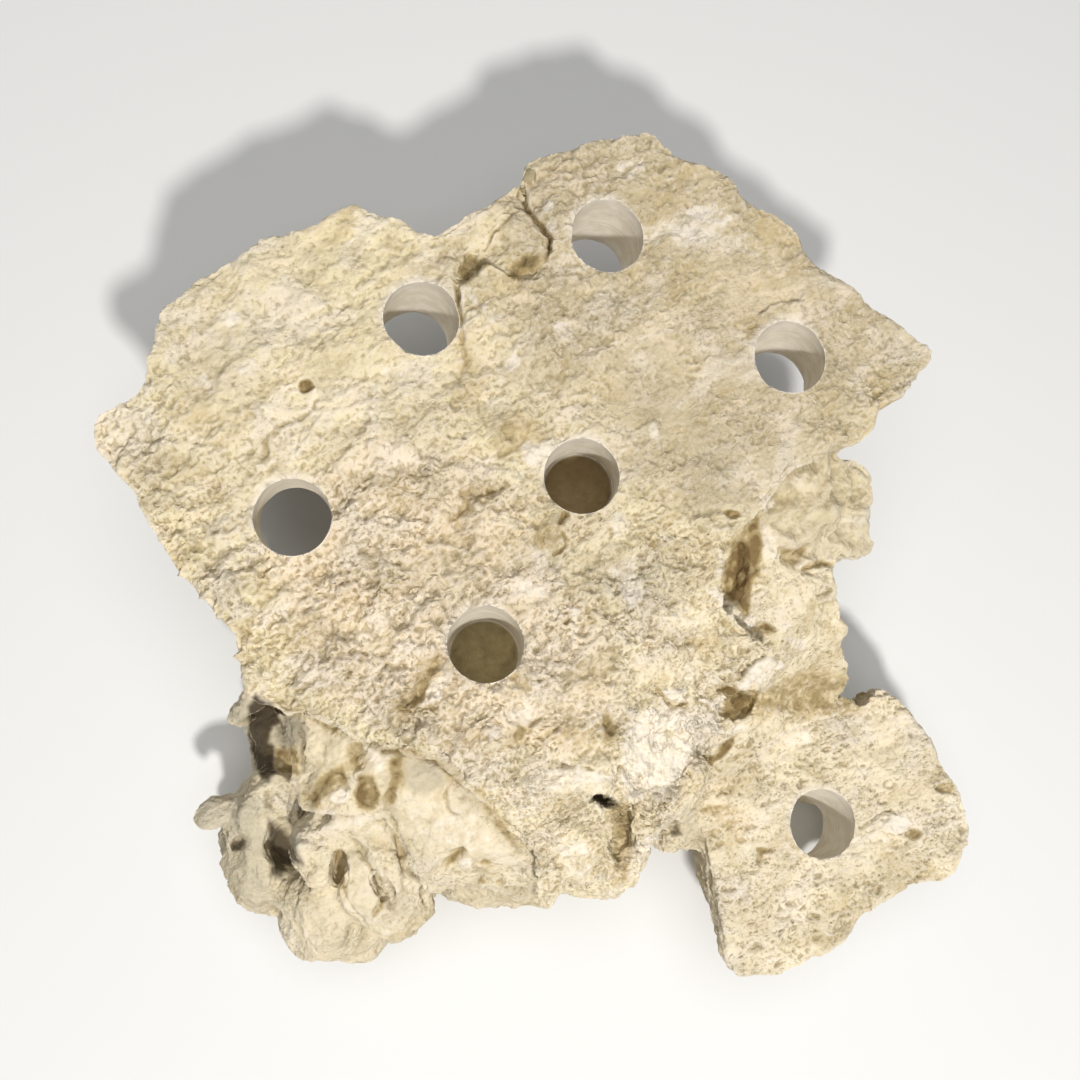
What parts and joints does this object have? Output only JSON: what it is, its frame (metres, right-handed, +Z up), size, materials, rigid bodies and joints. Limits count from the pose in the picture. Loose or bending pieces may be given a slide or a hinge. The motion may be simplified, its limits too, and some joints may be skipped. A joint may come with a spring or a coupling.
{
  "type": "aquarium reef rock",
  "caption": "Cream aquarium reef rock: a flat gritty shelf on a lumpy foot, with a lower block beside it, drilled with round holes for coral plugs.",
  "frame": {"origin": "on the surface that the rock stands on, under the middle of its outline", "axes": "+Z up, square to the shelf; +X to the right and +Y up the picture, as the rock is seen from above"},
  "size_m": [0.1614, 0.1526, 0.0595],
  "materials": {
    "reef_stone": "matte"
  },
  "bodies": {
    "root": {"reef_rock": "reef_stone"}
  },
  "joints": []
}
